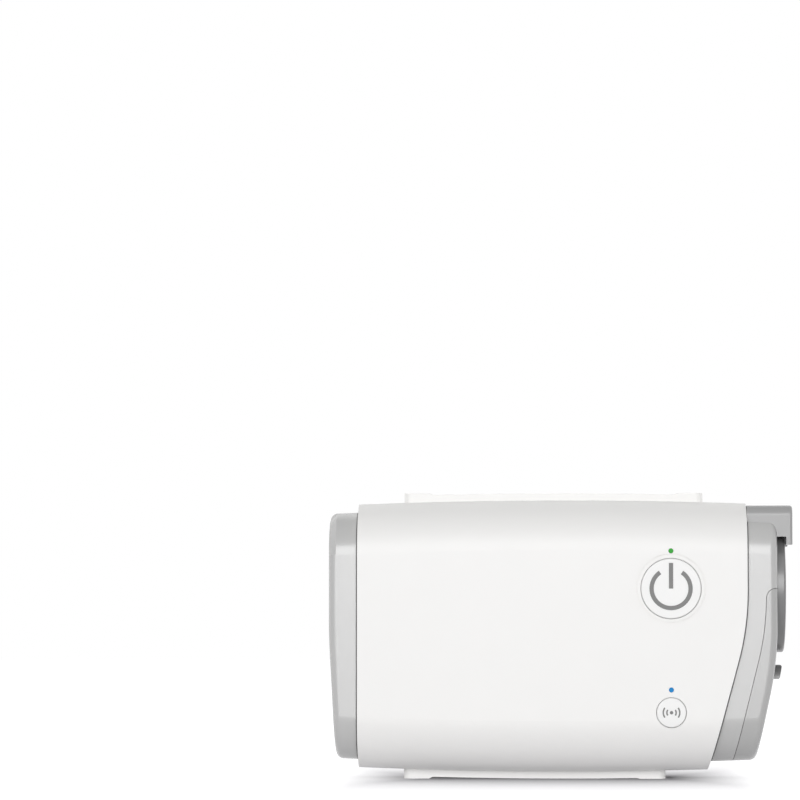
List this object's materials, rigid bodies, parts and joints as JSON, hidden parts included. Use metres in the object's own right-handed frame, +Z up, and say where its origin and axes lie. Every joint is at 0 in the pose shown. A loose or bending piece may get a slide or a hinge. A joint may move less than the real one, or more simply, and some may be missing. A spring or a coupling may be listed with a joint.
{
  "type": "cpap machine",
  "caption": "Small white box-shaped airway pressure machine with gray ends, round power and wireless buttons, and a round air outlet under a hood.",
  "frame": {"origin": "middle of the footprint, on the surface that the lower rail stands on", "axes": "+X from the air inlet to the air outlet, +Y to the rear, +Z up; the buttons face -Y"},
  "size_m": [0.136, 0.052, 0.0842],
  "materials": {
    "white_casing": "fine satin moulded white",
    "white_button": "fine satin moulded white with a gray printed symbol",
    "gray_cap": "fine satin moulded cool light gray",
    "silver_trim": "satin silver-gray moulding",
    "collar_gray": "satin mid-gray, machined look",
    "rubber_feet": "matt gray rubber",
    "dark_screws": "black-zinc steel",
    "steel_screws": "zinc-plated steel",
    "inner_plastic": "matt dark gray moulding",
    "blower_plastic": "matt charcoal moulding",
    "impeller_plastic": "smooth natural white moulding",
    "foam_seal": "closed-cell foam strip",
    "edge_rubber": "soft dark gray rubber",
    "muffler_foam": "open-cell charcoal foam",
    "filter_pad": "needled white filter felt",
    "silicone": "translucent gray silicone",
    "black_plastic": "black moulded plastic",
    "contact_metal": "plated contact",
    "circuit_board": "green solder mask",
    "chip_black": "matt black moulded packages",
    "switch_body": "black switch body",
    "led_green": "green diode",
    "led_blue": "blue diode",
    "lens_green": "clear green light pipe",
    "lens_blue": "clear blue light pipe",
    "shaft_steel": "ground steel",
    "magnet_dark": "coated magnet",
    "motor_steel": "drawn steel can",
    "core_steel": "laminated steel",
    "copper_wire": "enamelled copper winding"
  },
  "bodies": {
    "housing": {"front_shell": "white_casing", "rear_shell": "white_casing", "top_rail": "white_casing", "bottom_rail": "white_casing", "rear_feet": "rubber_feet", "shell_screws": "dark_screws", "inlet_frame": "inner_plastic", "inlet_gasket": "foam_seal", "muffler_foam": "muffler_foam", "outlet_end_cap": "gray_cap", "port_panel": "gray_cap", "outlet_hood": "silver_trim", "outlet_collar": "collar_gray", "outlet_seal": "silicone", "power_socket": "black_plastic", "power_pin": "contact_metal", "socket_board": "circuit_board", "chassis": "inner_plastic", "main_board": "circuit_board", "board_chips": "chip_black", "board_screws": "steel_screws", "power_switch": "switch_body", "wireless_switch": "switch_body", "green_led": "led_green", "blue_led": "led_blue", "green_light_pipe": "lens_green", "blue_light_pipe": "lens_blue", "scroll_front_half": "blower_plastic", "scroll_rear_half": "blower_plastic", "motor_can": "motor_steel", "motor_bearings": "shaft_steel", "stator_core": "core_steel", "stator_coils": "copper_wire", "motor_connector": "black_plastic", "blower_mounts": "silicone", "blower_screws": "steel_screws", "duct_coupling": "silicone", "outlet_duct": "blower_plastic", "pressure_sensor": "chip_black", "outlet_edge_seal": "edge_rubber"},
    "power_key": {"power_button": "white_button", "power_plunger": "black_plastic"},
    "wireless_key": {"wireless_button": "white_button", "wireless_plunger": "black_plastic"},
    "fan": {"impeller": "impeller_plastic", "motor_shaft": "shaft_steel", "rotor_magnet": "magnet_dark"},
    "cover": {"filter_cover": "gray_cap", "air_filter": "filter_pad", "inlet_edge_seal": "edge_rubber"}
  },
  "joints": [
    {"name": "power_press", "type": "slide", "parent": "housing", "child": "power_key", "axis": [0, 1, 0], "range_m": [0, 0.0008], "stiffness_N_per_m": 1500, "springref_m": -0.0003},
    {"name": "wireless_press", "type": "slide", "parent": "housing", "child": "wireless_key", "axis": [0, 1, 0], "range_m": [0, 0.0005], "stiffness_N_per_m": 1500, "springref_m": -0.0003},
    {"name": "fan_spin", "type": "hinge", "parent": "housing", "child": "fan", "pos_m": [-0.004, -0.0004, 0.0375], "axis": [0, 1, 0], "continuous": true},
    {"name": "cover_pull", "type": "slide", "parent": "housing", "child": "cover", "axis": [-1, 0, 0], "range_m": [0, 0.03]}
  ]
}
